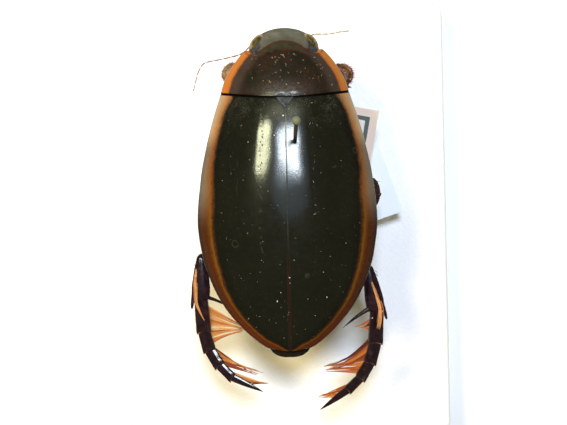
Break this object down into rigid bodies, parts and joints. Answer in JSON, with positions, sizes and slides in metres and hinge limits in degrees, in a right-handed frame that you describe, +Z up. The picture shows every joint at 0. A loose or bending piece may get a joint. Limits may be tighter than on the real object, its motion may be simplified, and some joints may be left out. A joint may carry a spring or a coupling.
{
  "type": "pinned diving beetle specimen",
  "caption": "Life-size pinned male great diving beetle with fringed swimming legs and suction fore feet, on an insect pin with blank data labels and a foam base.",
  "frame": {"origin": "centre of the foam base's underside", "axes": "+Y along the body towards the head, +X to the beetle's right, +Z up along its back"},
  "size_m": [0.04, 0.054, 0.0418],
  "materials": {
    "black_shell": "glossy olive-black horn with orange-brown side bands",
    "dark_brown_horn": "glossy dark red-brown horn",
    "amber_horn": "satin amber horn",
    "eye_surface": "dull glossy yellow-brown",
    "pin_steel": "plain steel wire, pale knob",
    "card": "matt off-white card",
    "white_foam": "matt white foam"
  },
  "bodies": {
    "root": {"pronotum": "black_shell", "scutellum": "black_shell", "elytron_left": "black_shell", "elytron_right": "black_shell", "head": "black_shell", "upper_lip": "amber_horn", "mandible_left": "amber_horn", "mandible_right": "amber_horn", "lower_lip_and_palps": "amber_horn", "antenna_left": "amber_horn", "antenna_right": "amber_horn", "chest": "dark_brown_horn", "breast": "dark_brown_horn", "hind_coxal_plates": "dark_brown_horn", "abdomen": "dark_brown_horn", "tail_ring": "dark_brown_horn", "fore_coxa_left": "dark_brown_horn", "fore_coxa_right": "dark_brown_horn", "fore_femur_left": "dark_brown_horn", "fore_femur_right": "dark_brown_horn", "fore_tibia_left": "dark_brown_horn", "fore_tibia_right": "dark_brown_horn", "fore_foot_left": "dark_brown_horn", "fore_foot_right": "dark_brown_horn", "mid_coxa_left": "dark_brown_horn", "mid_coxa_right": "dark_brown_horn", "mid_femur_left": "dark_brown_horn", "mid_femur_right": "dark_brown_horn", "mid_tibia_left": "dark_brown_horn", "mid_tibia_right": "dark_brown_horn", "mid_foot_left": "dark_brown_horn", "mid_foot_right": "dark_brown_horn", "hind_femur_left": "dark_brown_horn", "hind_femur_right": "dark_brown_horn", "hind_tibia_left": "dark_brown_horn", "hind_tibia_right": "dark_brown_horn", "hind_foot_left": "dark_brown_horn", "hind_foot_right": "dark_brown_horn", "eye_left": "eye_surface", "eye_right": "eye_surface", "pin": "pin_steel", "label_upper": "card", "label_lower": "card", "stand_base": "white_foam"}
  },
  "joints": []
}
